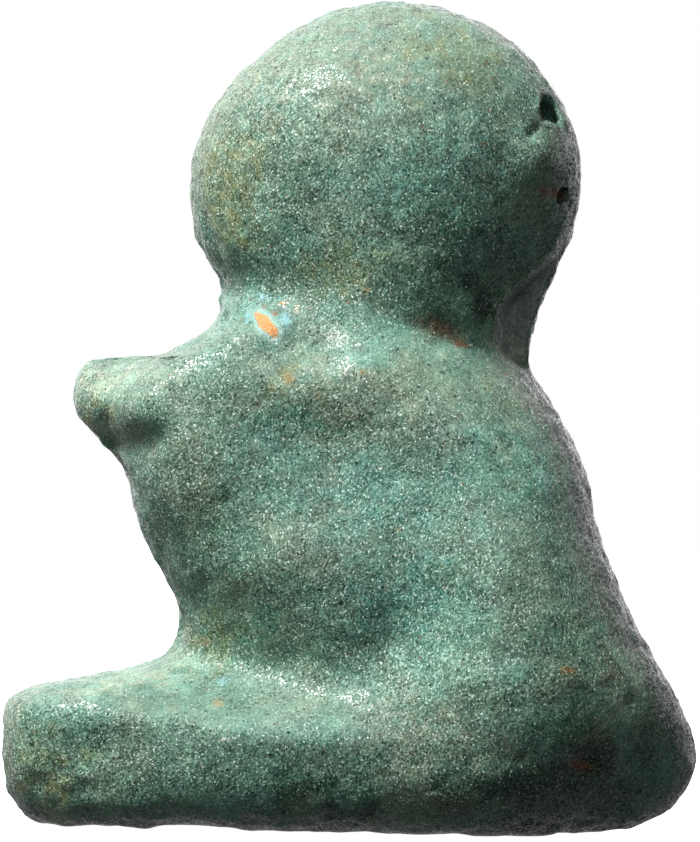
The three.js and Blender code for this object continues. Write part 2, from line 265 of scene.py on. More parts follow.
def figure_points():
    """Rings of points up the figure: x runs as a cosine over each side, y is the half thickness there."""
    z = row_heights(ROWS)[:, None]
    left, right, notch = profile(z)
    near = np.linspace(0, np.pi, NEAR_COLUMNS + 1)[None, :]
    far = np.linspace(np.pi, 2 * np.pi, FAR_COLUMNS + 1)[None, 1:-1]
    middle, half = (left + right) / 2, (right - left) / 2
    x_near = middle - half * np.cos(near)
    x_far = middle - half * np.cos(far)
    z_near, z_far = z + 0 * x_near, z + 0 * x_far
    near_half = half_thickness(x_near, z_near, left, right, notch, 1) * beak_round(x_near, z_near)
    far_half = half_thickness(x_far, z_far, left, right, notch, FAR_SIDE) * beak_round(x_far, z_far)
    y_near = -np.maximum(near_half, LEAST_THICK)
    y_near[:, [0, -1]] = 0
    y_far = np.maximum(far_half, LEAST_THICK)
    return np.stack(
        [np.hstack([x_near, x_far]), np.hstack([y_near, y_far]), np.hstack([z_near, z_far])], axis=2
    )


def underside_points(lowest):
    """Rings inside the lowest one, each a smaller copy of it about its middle, down to the last."""
    centre = lowest.mean(axis=0)
    shares = 1 - np.arange(1, UNDER_RINGS + 1) / (UNDER_RINGS + 1)
    return centre + shares[:, None, None] * (lowest - centre), centre


def ring_faces(rings, ring, first=0):
    """Quads between each ring and the next, wound to face outwards as the rings go up."""
    a = first + np.arange(rings - 1)[:, None] * ring + np.arange(ring)[None, :]
    b = first + np.arange(rings - 1)[:, None] * ring + (np.arange(ring) + 1)[None, :] % ring
    return np.stack([a, b, b + ring, a + ring], axis=2).reshape(-1, 4)


def fan_faces(start, ring, tip, up):
    """Triangles from one ring to a single point."""
    a = start + np.arange(ring)
    b = start + (np.arange(ring) + 1) % ring
    tips = np.full(ring, tip)
    return np.stack([a, b, tips] if up else [b, a, tips], axis=1)


def amulet_mesh():
    """The skin's vertices: underside point, its rings from the middle out, the figure, the crown."""
    figure = figure_points()
    ring = figure.shape[1]
    under, centre = underside_points(figure[0])
    crown = np.array([[DISC["x"] + DISC["lean"] * DISC["half_high"], 0, HEIGHT]])
    points = np.vstack([centre[None, :], under[::-1].reshape(-1, 3), figure.reshape(-1, 3), crown])
    rings = UNDER_RINGS + ROWS
    quads = ring_faces(rings, ring, 1)
    bottom = fan_faces(1, ring, 0, False)
    top = fan_faces(1 + (rings - 1) * ring, ring, len(points) - 1, True)
    shift = (points.min(axis=0) + points.max(axis=0)) / 2
    points[:, :2] -= shift[:2]
    mesh = bpy.data.meshes.new("faience_amulet")
    mesh.from_pydata((points * MM).tolist(), [], quads.tolist() + bottom.tolist() + top.tolist())
    mesh.shade_smooth()
    return mesh, shift


mesh, shift = amulet_mesh()
amulet = bpy.data.objects.new("faience_amulet", mesh)
bpy.context.scene.collection.objects.link(amulet)

# The channel for the cord was pierced in the damp paste: a fine tunnel behind a bar of faience on the
# disc's back edge, whose two mouths show from the near side. It is cut out of the skin.
# Its radius at the upper mouth, kept as far as the point of the path named next, and at its lower end.
CORD_RADII = (0.32, 0.05)
CORD_NARROWS = 4
CORD_PATH = [
    (5.0, -2.5, 19.5), (4.9, -1.6, 19.0), (4.85, -1.15, 18.4), (4.92, -1.05, 17.7),
    (5.15, -1.15, 17.1), (5.4, -1.6, 16.65), (5.8, -2.4, 16.1),
]


def tunnel_mesh(path, radii, sides=28, steps=60):
    """A round tube along a smooth line through the path, with flat ends and a radius for each."""
    p = np.array(path, float)
    u = np.linspace(0, len(p) - 1, steps)
    k = np.clip(u.astype(int), 0, len(p) - 2)
    f = (u - k)[:, None]
    c = np.vstack([2 * p[0] - p[1], p, 2 * p[-1] - p[-2]])
    line = 0.5 * (
        2 * c[k + 1]
        + (c[k + 2] - c[k]) * f
        + (2 * c[k] - 5 * c[k + 1] + 4 * c[k + 2] - c[k + 3]) * f**2
        + (3 * c[k + 1] - c[k] - 3 * c[k + 2] + c[k + 3]) * f**3
    )
    along = np.gradient(line, axis=0)
    along /= np.linalg.norm(along, axis=1)[:, None]
    across = np.cross(along, [0, 1, 0])
    across /= np.linalg.norm(across, axis=1)[:, None]
    third = np.cross(along, across)
    angle = np.linspace(0, 2 * np.pi, sides, endpoint=False)
    radius = np.interp(u, [0, CORD_NARROWS, len(p) - 1], [radii[0], radii[0], radii[1]])[:, None, None]
    rings = line[:, None, :] + radius * (
        np.cos(angle)[None, :, None] * across[:, None, :] + np.sin(angle)[None, :, None] * third[:, None, :]
    )
    points = np.vstack([rings.reshape(-1, 3), line[:1], line[-1:]])
    points[:, :2] -= shift[:2]
    faces = ring_faces(steps, sides).tolist()
    faces += fan_faces(0, sides, len(points) - 2, False).tolist()
    faces += fan_faces((steps - 1) * sides, sides, len(points) - 1, True).tolist()
    made = bpy.data.meshes.new("cord_tunnel")
    made.from_pydata((points * MM).tolist(), [], faces)
    return made


tunnel = bpy.data.objects.new("cord_tunnel", tunnel_mesh(CORD_PATH, CORD_RADII))
bpy.context.scene.collection.objects.link(tunnel)
cut = amulet.modifiers.new("cord channel", "BOOLEAN")
cut.operation = "DIFFERENCE"
cut.solver = "EXACT"
cut.object = tunnel
bpy.context.view_layer.update()
pierced = bpy.data.meshes.new_from_object(amulet.evaluated_get(bpy.context.evaluated_depsgraph_get()))
amulet.modifiers.clear()
amulet.data = pierced
bpy.data.objects.remove(tunnel)

# The worn surface: the soft lumps of a hand-pressed casting, the rough belt where the two halves of
# the mould met, the lip over the cord's pit, and small pits and pinholes where grains fell out.
# Waves are (wavelength, height), pits are (x, z, radius, depth).
LUMPS = [(3.2, 0.009), (1.5, 0.007), (0.7, 0.005), (0.35, 0.003)]
ROUGH = [(0.9, 0.016), (0.45, 0.01), (0.25, 0.006)]
UNDERSIDE = [(3.5, 0.05), (1.4, 0.03), (0.6, 0.015)]
WAVES_EACH = 36
WAVE_SPREAD = (0.75, 1.35)
SURFACE_SEEDS = {"lumps": 7, "rough": 8, "underside": 9, "pinholes": 11}
# How far the near side's own relief takes to fade in towards -Y, and where its pits may lie.
NEAR_SIDE = {"fade": (0.1, 0.6), "pits_before": -0.3, "pits_above": 0.6}
# The rough belt runs where the surface faces sideways, and low down. Underneath, shallow hollows leave
# the rest of the figure resting on the floor, where the lumps fade out.
BELT = {"sideways": (0.25, 0.6), "low": (0.3, 0.9)}
UNDER_HOLLOWS = {"level": 0.05, "share": 0.9, "most": 0.16, "fade": (0.1, 0.9)}
FLOOR_FADE = (0, 0.3)
PITS = [
    (-6.57, 10.85, 0.06, 0.05), (4.68, 16.45, 0.07, 0.09), (-1.05, 12.78, 0.05, 0.07),
    (-2.55, 11.15, 0.09, 0.05), (4.5, 20.05, 0.06, 0.05), (-0.35, 8.6, 0.05, 0.05),
    (-8.22, 2.2, 0.07, 0.05), (-7.7, 2.42, 0.06, 0.04), (2.25, 1.3, 0.08, 0.07), (4.5, 2.17, 0.08, 0.05),
    (1.15, 1.05, 0.05, 0.05), (6.1, 1.95, 0.45, 0.16), (-8.1, 1.2, 0.2, 0.05), (-6.9, 1.5, 0.16, -0.05),
    (-7.25, 1.15, 0.2, -0.05), (-6.6, 1.35, 0.14, -0.04),
]
PINHOLES = {"count": 320, "radius": (0.05, 0.1), "depth": (0.02, 0.05)}
# Small swellings and hollows of the near side: (rise, x, z, half-width, half-height).
FINE_FORMS = [
    (0.1, -6.5, 11.3, 0.6, 0.5), (0.15, -6.2, 10.6, 0.6, 0.4), (0.12, -5.3, 10.8, 0.5, 0.4),
]
# The pit over the cord's bar: its left wall, which leans from a height on, the line of its lip, which
# falls to the right of a bend, and the ranges over which its sides fade. A recess carries it on to the
# right. Grooves are (start, end, half-width, depth).
PIT = {
    "wall": 4.7, "lean": 0.12, "lean_from": 19.1, "lip": 18.77, "bend": 5.1, "fall": 0.9, "deep": 0.62,
}
PIT_FADE = {"wall": (-0.05, 0.06), "lip": (-0.02, 0.05), "top": (0.4, 0.8), "right": (5.0, 5.45)}
RECESS = {"top": (0.08, 0.4), "left": (5.0, 5.3), "right": (5.6, 5.85), "deep": 0.14}
CORD_GROOVES = [((4.62, 18.55), (4.45, 18.36), 0.12, 0.15), ((5.05, 16.84), (5.5, 16.74), 0.11, 0.17)]
LIP = {"line": [(4.76, 18.7), (5.1, 18.72), (5.5, 18.36)], "wide": 0.07, "rise": 0.04}
EDGE_FADE = (0.1, 0.5)
# The rim: the seam along the disc's lower right edge, as (height, x), raised over the web beyond it.
RIM = [
    (12.6, 3.66), (12.95, 3.64), (13.3, 3.68), (13.7, 3.6), (14, 3.76), (14.35, 4.06), (14.7, 4.45),
    (15, 4.82), (15.35, 5.12), (15.8, 5.3), (16.3, 5.48), (16.9, 5.72),
]
RIM_FORM = {
    "rise": 0.08, "wide": 0.1, "slant": 0.75, "fall": (0.05, 0.3), "share": 0.42,
    "low": (12.0, 12.4), "high": (15.9, 16.9), "ridge_low": (12.9, 13.3),
}
# The web's lower end: a line through (x, z) that falls to the right.
WEB_END = {"x": 3.45, "z": 13.05, "fall": 0.87, "fade": (-0.05, 0.12)}


def waves(points, kinds, seed):
    """Random plane waves: each a cosine along a random direction, added up for each wavelength."""
    draw = np.random.default_rng(seed)
    height = np.zeros(len(points))
    for wavelength, amount in kinds:
        ways = draw.normal(size=(WAVES_EACH, 3))
        ways *= (2 * np.pi / wavelength / np.linalg.norm(ways, axis=1))[:, None]
        ways *= draw.uniform(*WAVE_SPREAD, size=(WAVES_EACH, 1))
        phase = draw.uniform(0, 2 * np.pi, WAVES_EACH)
        height += amount * np.sqrt(2 / WAVES_EACH) * np.cos(points @ ways.T + phase).sum(axis=1)
    return height


def dents(points, centres, radius, depth, reach=3):
    """Round dents: each depth times exp(-(distance / radius)^2), up to reach radii away."""
    sunk = np.zeros(len(points))
    for centre, r, d in zip(centres, radius, depth):
        near = np.abs(points[:, 2] - centre[2]) < reach * r
        gap = np.sum((points[near] - centre) ** 2, axis=1)
        sunk[near] += d * np.exp(-gap / r**2)
    return sunk


def groove(x, z, start, end, width):
    """1 along the line from start to end, falling off as exp(-(distance / width)^2)."""
    (ax, az), (bx, bz) = start, end
    t = np.clip(((x - ax) * (bx - ax) + (z - az) * (bz - az)) / ((bx - ax) ** 2 + (bz - az) ** 2), 0, 1)
    gap = np.hypot(x - ax - t * (bx - ax), z - az - t * (bz - az))
    return np.exp(-((gap / width) ** 2))


def cord_relief(x, z):
    """The pit over the bar: a steep left wall and lip, fading up and to the right, and its grooves."""
    over = z - PIT["lip"] + PIT["fall"] * np.clip(x - PIT["bend"], 0, None)
    past_wall = x - PIT["wall"] - PIT["lean"] * np.clip(z - PIT["lean_from"], 0, None)
    above_lip = smooth_step(*PIT_FADE["lip"], over)
    pit = smooth_step(*PIT_FADE["wall"], past_wall) * above_lip * (1 - smooth_step(*PIT_FADE["top"], over))
    pit *= 1 - smooth_step(*PIT_FADE["right"], x)
    recess = above_lip * (1 - smooth_step(*RECESS["top"], over))
    recess *= smooth_step(*RECESS["left"], x) * (1 - smooth_step(*RECESS["right"], x))
    sunk = PIT["deep"] * pit + RECESS["deep"] * recess
    for start, end, wide, deep in CORD_GROOVES:
        sunk += deep * groove(x, z, start, end, wide)
    left_end, middle, right_end = LIP["line"]
    lip = groove(x, z, left_end, middle, LIP["wide"]) + groove(x, z, middle, right_end, LIP["wide"])
    sunk -= LIP["rise"] * np.clip(lip, 0, 1)
    return sunk * smooth_step(*EDGE_FADE, profile(z)[1] - x)


def rim_relief(x, z, depth):
    """The seam's ridge, and the web beyond it, which lies back by a share of the depth there."""
    beyond = (x - rim_edge(z)) * RIM_FORM["slant"]
    past_end = z - WEB_END["z"] + WEB_END["fall"] * (x - WEB_END["x"])
    web = smooth_step(*RIM_FORM["fall"], beyond) * smooth_step(*WEB_END["fade"], past_end)
    there = smooth_step(*RIM_FORM["low"], z) * (1 - smooth_step(*RIM_FORM["high"], z))
    ridge = np.exp(-((beyond / RIM_FORM["wide"]) ** 2)) * smooth_step(*RIM_FORM["ridge_low"], z)
    return there * (RIM_FORM["share"] * web * depth - RIM_FORM["rise"] * ridge)


def fine_forms(x, z):
    """The sum of the fine forms, each rise times exp(-u^2 - v^2)."""
    rise = np.zeros(len(x))
    for amount, cx, cz, wide, high in FINE_FORMS:
        rise += amount * np.exp(-(((x - cx) / wide) ** 2) - ((z - cz) / high) ** 2)
    return rise


def side_share(normals, low, high):
    """1 where the surface faces sideways, along the silhouette, and 0 on the broad faces."""
    return 1 - smooth_step(low, high, np.abs(normals[:, 1]))


def read(mesh, name):
    """The places or normals of the mesh's vertices, as an array with a row for each."""
    values = np.empty(len(mesh.vertices) * 3, np.float32)
    mesh.vertices.foreach_get(name, values)
    return values.reshape(-1, 3).astype(float)


rim_edge = smooth_line(RIM)
points = read(pierced, "co") / MM
normals = read(pierced, "normal")
x, y, z = points[:, 0] + shift[0], points[:, 1], points[:, 2]
on_near = np.flatnonzero((y < NEAR_SIDE["pits_before"]) & (z > NEAR_SIDE["pits_above"]))
pit_centres = []
for pit_x, pit_z, _, _ in PITS:
    gap = (x[on_near] - pit_x) ** 2 + (z[on_near] - pit_z) ** 2
    pit_centres.append(points[on_near[np.argmin(gap)]])
draw = np.random.default_rng(SURFACE_SEEDS["pinholes"])
pinholes = points[draw.integers(0, len(points), PINHOLES["count"])]
pinhole_radii = draw.uniform(*PINHOLES["radius"], PINHOLES["count"])
pinhole_depths = draw.uniform(*PINHOLES["depth"], PINHOLES["count"])
near_share = smooth_step(*NEAR_SIDE["fade"], -y)
rough_share = np.maximum(side_share(normals, *BELT["sideways"]), 1 - smooth_step(*BELT["low"], z))
height = near_share * fine_forms(x, z) + waves(points, LUMPS, SURFACE_SEEDS["lumps"])
height += rough_share * waves(points, ROUGH, SURFACE_SEEDS["rough"])
height -= dents(points, pit_centres, [pit[2] for pit in PITS], [pit[3] for pit in PITS])
height -= dents(points, pinholes, pinhole_radii, pinhole_depths)
points = points + normals * (height * smooth_step(*FLOOR_FADE, z))[:, None]
points[:, 1] += near_share * (cord_relief(x, z) + rim_relief(x, z, -points[:, 1]))
under_waves = waves(points, UNDERSIDE, SURFACE_SEEDS["underside"])
hollow = UNDER_HOLLOWS["level"] + UNDER_HOLLOWS["share"] * under_waves
hollow = np.clip(hollow, 0, UNDER_HOLLOWS["most"]) * (1 - smooth_step(*UNDER_HOLLOWS["fade"], z))
points[:, 2] = np.maximum(points[:, 2], 0) + hollow
points[:, 2] -= points[:, 2].min()
pierced.vertices.foreach_set("co", (points * MM).astype(np.float32).ravel())
pierced.update()
pierced.shade_smooth()

# Faience: sintered quartz grains under a thin copper glaze, which went blue-green in the kiln and is
# worn matt on the high places. Its broad drifts of colour, with painted light and shade among them, are
# worked out for each vertex.
# A patch is (x, z, half-width, half-height, strength) on the near side; waves are as above.
GREEN = (0.105, 0.19, 0.138)
OLIVE = (0.165, 0.195, 0.095)
BEIGE = (0.165, 0.202, 0.143)
TURQUOISE = (0.083, 0.205, 0.168)
DEEP = (0.07, 0.18, 0.125)
RUBBED = (0.155, 0.17, 0.155)
OLIVE_PATCHES = [
    (-3.3, 16.6, 1.0, 1.6, 0.9), (0.2, 14.8, 1.6, 0.6, 0.8), (-1.7, 11.95, 0.5, 0.35, 1.2),
    (-7.6, 1.4, 0.9, 0.9, 1), (-3.6, 4.9, 1.1, 0.5, 1), (2.3, 20.5, 1.5, 0.8, 0.7),
    (4.2, 11.3, 1.2, 0.7, 0.5), (-6.6, 10.6, 0.8, 0.5, 1.2),
]
BEIGE_PATCHES = [
    (-0.3, 11.5, 2.2, 0.6, 1), (2.3, 2.7, 2.2, 1.2, 0.9), (6.6, 4.9, 1.3, 1.6, 0.9),
    (-3.2, 18.2, 1.5, 2.2, 0.8), (-4.4, 8.9, 0.8, 2.2, 0.5), (-5.4, 12, 1.6, 0.8, 0.6),
    (4.6, 12.1, 1.2, 0.8, 0.6), (-1.5, 7.2, 1.5, 1, 0.5), (-0.7, 20.4, 3.2, 1.3, 0.8),
    (0.3, 18.9, 1.6, 1.1, 0.7), (-7.1, 11.7, 0.9, 0.9, 1), (3.4, 12.9, 1.2, 0.4, 0.8),
    (-8.9, 2.4, 0.5, 1.3, 1), (-5.6, 4.0, 1.6, 0.5, 1), (-1.4, 12.9, 1, 0.5, 0.6),
]
DEEP_PATCHES = [
    (-5.3, 8.3, 0.5, 1.2, 1), (-1, 11, 1.4, 0.6, 1), (-2, 5, 1.6, 0.5, 0.9), (-0.6, 1, 1.6, 0.6, 1),
    (6, 5.4, 0.9, 0.9, 0.8), (6, 3.1, 0.8, 0.5, 0.8), (1.2, 14.5, 1.2, 0.6, 0.4),
    (2.2, 16.2, 1.2, 0.7, 0.6),
]
TURQUOISE_PATCHES = [
    (0.6, 8.7, 1.9, 1.3, 1), (1.3, 6.1, 2.4, 0.9, 0.9), (-1.9, 13.5, 1.4, 0.8, 0.7),
    (3.9, 9.9, 1.7, 2.4, 0.5), (2.0, 17.6, 2.0, 2.3, 0.7), (0.5, 12.9, 3, 0.5, 0.5),
    (-2.4, 9.6, 1, 1.4, 0.5), (-1, 2.2, 3, 1, 0.4),
]
# Patches of painted light and shade, partly also glaze rubbed pale and glaze lying thick: strength above 0
# makes the colour paler, as on the lit ledge and beak top, and below 0 darker, as in the shade under the beak
# and along the lower right.
PAINTED_LIGHT_SHADE_AND_WEAR = [
    (-5.4, 4.1, 1.9, 0.5, 0.45), (-6.6, 11.5, 0.9, 0.8, 0.4), (0.2, 17.4, 1.6, 1.7, 0.22),
    (-0.3, 15.2, 1.4, 0.6, 0.25), (-7.2, 1.2, 1.2, 0.8, 0.6), (-3.7, 1, 1.4, 0.5, 0.4),
    (3.1, 13, 0.9, 0.4, 0.7), (4.3, 9.9, 0.9, 1.2, 0.3), (7, 3.6, 0.8, 0.8, 0.45),
    (-2, 5.3, 1.8, 0.7, 0.25), (6, 5.6, 1.2, 1.5, 0.2), (2.7, 2.5, 1.1, 0.8, 0.25),
    (5.4, 1.1, 3.1, 1.1, -0.6), (-0.1, 0.9, 1.4, 0.5, -0.6), (3.3, 14.8, 1, 1, -0.3),
    (2.1, 15.8, 1, 0.6, -0.35), (1.3, 13, 2.4, 0.45, 0.28), (1.2, 12.1, 1.5, 0.4, 0.2),
    (0, 10.5, 1.4, 0.9, 0.2), (-3.5, 8, 0.9, 0.8, 0.2), (-5.1, 8, 0.5, 1.4, -0.4),
    (-4.1, 6.3, 0.5, 0.6, -0.45), (2, 8, 0.5, 0.5, 0.3), (2.9, 5.4, 0.9, 1.1, 0.25),
    (1.8, 4, 0.8, 0.6, 0.2), (5.4, 2.5, 1, 0.6, -0.25), (7, 5.6, 0.5, 1.3, -0.35),
    (5.3, 10.7, 0.4, 1, -0.35), (1.1, 15.1, 0.6, 0.5, 0.4), (1.8, 18.2, 1.6, 0.9, 0.18),
    (-0.2, 19.1, 0.7, 0.5, -0.18), (3, 14.1, 0.6, 0.5, -0.35), (4, 18, 0.5, 0.5, -0.3),
    (4.9, 18.1, 0.5, 0.5, -0.25), (-5.6, 10.15, 0.5, 0.3, 0.15), (2.9, 14.1, 0.8, 0.4, -0.3),
    (-3, 14.2, 0.6, 0.4, -0.25), (6.2, 2, 0.9, 0.4, -0.3), (0.8, 3, 1, 0.4, -0.25),
    (8.1, 3.7, 0.5, 1.4, -0.55), (0.3, 14.05, 0.9, 0.2, -0.3),
]
# Waves: the slow drifts of colour, the ragged outlines of the patches, their flecks and the mottling.
DRIFTS = [(4.5, 0.7), (1.8, 0.5), (0.8, 0.35)]
RAGGED = [(1.6, 0.3), (0.6, 0.12)]
FLECKS = [(0.5, 0.8), (0.28, 0.6)]
MOTTLE = [(0.9, 0.5), (0.4, 0.8)]
TONE_SEEDS = {"ragged_x": 21, "ragged_z": 22, "turquoise": 23, "beige": 24, "flecks": 25, "mottle": 26}
TURQUOISE_DRIFT = {"share": 0.35, "range": (-0.6, 1.2)}
BEIGE_DRIFT = {"share": 0.4, "range": (-0.2, 1.4)}
FLECK = {"level": 0.55, "swing": 0.3, "range": (0.2, 1)}
MOTTLE_SWING = 0.06
# The glaze is rubbed grey on edges that face sideways, to the right or low down, and on the web behind
# the disc. Painted shade makes the right edge darker below the disc, where it faces sideways, and the web is
# made lighter.
RUB = {"sideways": (0.2, 0.5), "right": (0, 3), "low": (0.3, 0.8), "share": 0.85}
WEB = {"beyond": (0, 0.3), "low": (12.2, 12.6), "high": (15.5, 16.5), "lighter": 0.35}
PAINTED_EDGE_SHADE = {"sideways": (0.3, 0.75), "right": (2.5, 5.5), "high": (17, 19), "darker": 0.5}
# The limits of the factor from the patches of painted light and shade.
PAINTED_LIGHT_SHADE_AND_WEAR_RANGE = (0.3, 1.6)
# Stains, and one painted highlight among them: (x, z, half-width, half-height, turn in degrees, colour,
# strength).
RUST = (0.19, 0.075, 0.035)
UMBER = (0.1, 0.06, 0.035)
OCHRE = (0.33, 0.2, 0.07)
CHALK_AND_HIGHLIGHT = (0.52, 0.56, 0.5)
CRUST = (0.2, 0.38, 0.4)
SOOT = (0.03, 0.03, 0.024)
STAINS_AND_HIGHLIGHT = [
    (-2.42, 13.74, 0.1, 0.08, 0, RUST, 1), (-2.15, 13.55, 0.12, 0.09, 0, RUST, 1.1),
    (-1.95, 13.83, 0.22, 0.07, 12, OCHRE, 0.8), (-1.58, 13.68, 0.09, 0.16, 20, OCHRE, 0.8),
    (-1.85, 13.38, 0.2, 0.22, 0, CRUST, 1), (-2.85, 13.45, 0.12, 0.3, 0, CRUST, 0.8),
    (-2.45, 13.97, 0.25, 0.1, 0, CRUST, 0.8), (-2.15, 12.84, 0.09, 0.06, 0, CHALK_AND_HIGHLIGHT, 1.2),
    # The pale patch at (-0.5, 13.0) is a painted highlight on the shoulder, not a stain.
    (-0.5, 13.0, 0.45, 0.28, 0, CHALK_AND_HIGHLIGHT, 0.62), (-1.72, 11.85, 0.22, 0.24, 0, OCHRE, 0.75),
    (0.2, 12.06, 0.2, 0.08, 0, OCHRE, 0.7), (2.25, 13.25, 0.85, 0.34, -25, UMBER, 0.95),
    (2.72, 12.88, 0.3, 0.13, -20, RUST, 1.1), (0.25, 14.2, 0.15, 0.13, 0, OCHRE, 0.75),
    (0.4, 13.93, 0.4, 0.12, -15, SOOT, 0.6), (5.65, 4.45, 0.33, 0.14, -5, OCHRE, 0.8),
    (6.7, 4.3, 0.6, 0.25, -10, OCHRE, 0.45), (-8.5, 1.05, 0.25, 0.22, 0, OCHRE, 0.6),
    (-7.25, 1.12, 0.25, 0.13, 0, CHALK_AND_HIGHLIGHT, 0.6), (-6.6, 1.35, 0.25, 0.14, -20, CHALK_AND_HIGHLIGHT, 0.55),
    (-3.4, 3.4, 0.2, 0.13, 0, OCHRE, 0.8), (-3.3, 3.92, 0.3, 0.2, 0, CRUST, 0.7),
    (-3.15, 2.5, 0.12, 0.03, 8, CHALK_AND_HIGHLIGHT, 1.4), (6.1, 1.92, 0.45, 0.17, -10, RUST, 0.85),
    (4.65, 18.2, 0.16, 0.09, 30, CHALK_AND_HIGHLIGHT, 0.6), (5.05, 16.88, 0.48, 0.17, -12, RUST, 1.1),
    (5.45, 16.72, 0.14, 0.08, 0, SOOT, 1), (3.7, 16.5, 0.3, 0.02, 0, CHALK_AND_HIGHLIGHT, 0.7),
    (-0.2, 14.85, 0.3, 0.2, 0, OCHRE, 0.5), (0.9, 14.6, 0.35, 0.15, 0, SOOT, 0.5),
    (-3.75, 4.95, 0.3, 0.25, 0, OCHRE, 0.6), (-2.9, 6.4, 0.3, 0.2, 0, OCHRE, 0.5),
    (-2.55, 11.15, 0.14, 0.1, 0, SOOT, 0.9), (-6.57, 10.85, 0.1, 0.07, 35, SOOT, 1.2),
    (-8.22, 2.2, 0.09, 0.06, 0, SOOT, 1.1), (-7.7, 2.42, 0.08, 0.05, 0, SOOT, 1),
    (2.25, 1.3, 0.09, 0.07, 0, SOOT, 1.2), (4.5, 2.17, 0.12, 0.06, 0, SOOT, 1),
    (4.9, 12.6, 0.5, 0.2, 0, SOOT, 0.3), (3.2, 18.1, 0.12, 0.08, 0, RUST, 0.7),
    (-2.4, 15.2, 0.3, 0.15, 0, RUST, 0.45), (1.2, 8.0, 0.16, 0.12, 0, OCHRE, 0.6),
]


def patches(x, z, places):
    """The sum of soft ovals, each strength times exp(-(u^2 + v^2)^2)."""
    share = np.zeros(len(x))
    for cx, cz, wide, high, strength in places:
        share += strength * np.exp(-((((x - cx) / wide) ** 2 + ((z - cz) / high) ** 2) ** 2))
    return share


def toward(tone, colour, share):
    """The tone moved towards a colour by a share from 0 to 1 of the way."""
    return tone + (np.array(colour) - tone) * np.clip(share, 0, 1)[:, None]


def glaze_tone(points, normals, x, z, near_share):
    """Slow drifts of colour, then flecked patches, rubbed edges, mottling, the patches of painted light and
    shade, and painted shade on the right edge.
    """
    ragged_x = x + waves(points, RAGGED, TONE_SEEDS["ragged_x"])
    ragged_z = z + waves(points, RAGGED, TONE_SEEDS["ragged_z"])
    tone = np.tile(np.array(GREEN), (len(points), 1))
    for colour, drift, name in (
        (TURQUOISE, TURQUOISE_DRIFT, "turquoise"), (BEIGE, BEIGE_DRIFT, "beige"),
    ):
        share = smooth_step(*drift["range"], waves(points, DRIFTS, TONE_SEEDS[name]))
        tone = toward(tone, colour, drift["share"] * share)
    flecks = FLECK["level"] + FLECK["swing"] * waves(points, FLECKS, TONE_SEEDS["flecks"])
    flecks = np.clip(flecks, *FLECK["range"])
    for colour, places in (
        (TURQUOISE, TURQUOISE_PATCHES), (BEIGE, BEIGE_PATCHES), (OLIVE, OLIVE_PATCHES), (DEEP, DEEP_PATCHES),
    ):
        tone = toward(tone, colour, near_share * patches(ragged_x, ragged_z, places) * flecks)
    web = near_share * smooth_step(*WEB["beyond"], x - rim_edge(z))
    web *= smooth_step(*WEB["low"], z) * (1 - smooth_step(*WEB["high"], z))
    rubbed = np.maximum(smooth_step(*RUB["right"], x), 1 - smooth_step(*RUB["low"], z))
    rubbed = np.maximum(side_share(normals, *RUB["sideways"]) * rubbed, web)
    tone = toward(tone, RUBBED, RUB["share"] * rubbed)
    tone *= (1 + MOTTLE_SWING * waves(points, MOTTLE, TONE_SEEDS["mottle"]))[:, None]
    # Painted light and shade, partly worn glaze: the colour made paler and darker patch by patch.
    tone *= np.clip(1 + near_share * patches(ragged_x, ragged_z, PAINTED_LIGHT_SHADE_AND_WEAR), *PAINTED_LIGHT_SHADE_AND_WEAR_RANGE)[:, None]
    # Painted shade: the sideways-facing right edge below the disc is darkened, and the web made lighter.
    edge_shade = side_share(normals, *PAINTED_EDGE_SHADE["sideways"]) * smooth_step(*PAINTED_EDGE_SHADE["right"], x)
    edge_shade *= 1 - smooth_step(*PAINTED_EDGE_SHADE["high"], z)
    return tone * (1 - PAINTED_EDGE_SHADE["darker"] * edge_shade * (1 - web) + WEB["lighter"] * web)[:, None]


def glaze_stains_and_highlight(x, z, near_share):
    """For each vertex the colour of its strongest mark among the stains and the painted highlight and, as
    alpha, strength times exp(-u^2 - v^2).
    """
    stain_and_highlight = np.zeros((len(x), 4))
    for cx, cz, wide, high, turn, colour, strength in STAINS_AND_HIGHLIGHT:
        c, s = np.cos(np.radians(turn)), np.sin(np.radians(turn))
        u = ((x - cx) * c + (z - cz) * s) / wide
        v = (-(x - cx) * s + (z - cz) * c) / high
        share = strength * near_share * np.exp(-(u * u + v * v))
        stain_and_highlight[:, :3] = np.where((share > stain_and_highlight[:, 3])[:, None], colour, stain_and_highlight[:, :3])
        stain_and_highlight[:, 3] = np.maximum(share, stain_and_highlight[:, 3])
    return stain_and_highlight


tone = glaze_tone(points, normals, x, z, near_share)
tone = np.hstack([tone, np.ones((len(tone), 1))])
for name, colours in (("tone", tone), ("stain_and_highlight", glaze_stains_and_highlight(x, z, near_share))):
    attribute = pierced.attributes.new(name, "FLOAT_COLOR", "POINT")
    attribute.data.foreach_set("color", colours.astype(np.float32).ravel())

# The glaze close to. Sizes in mm of its grains, of the coarser cells among them, of its blotches and of
# its ripple; how much each counts in a grain's lightness; and the colours of what breaks the green.
GRAIN = {"fine": 0.038, "coarse": 0.1, "blotch": 0.5, "ripple": 0.08}
LIGHTNESS = {
    "fine": 1.15, "ripple": 0.7, "coarse": 0.2, "level": 0.95, "scaled": 0.5, "blotch": 1.0, "added": 0.07,
}
DARKEST = (0.012, 0.02, 0.016)
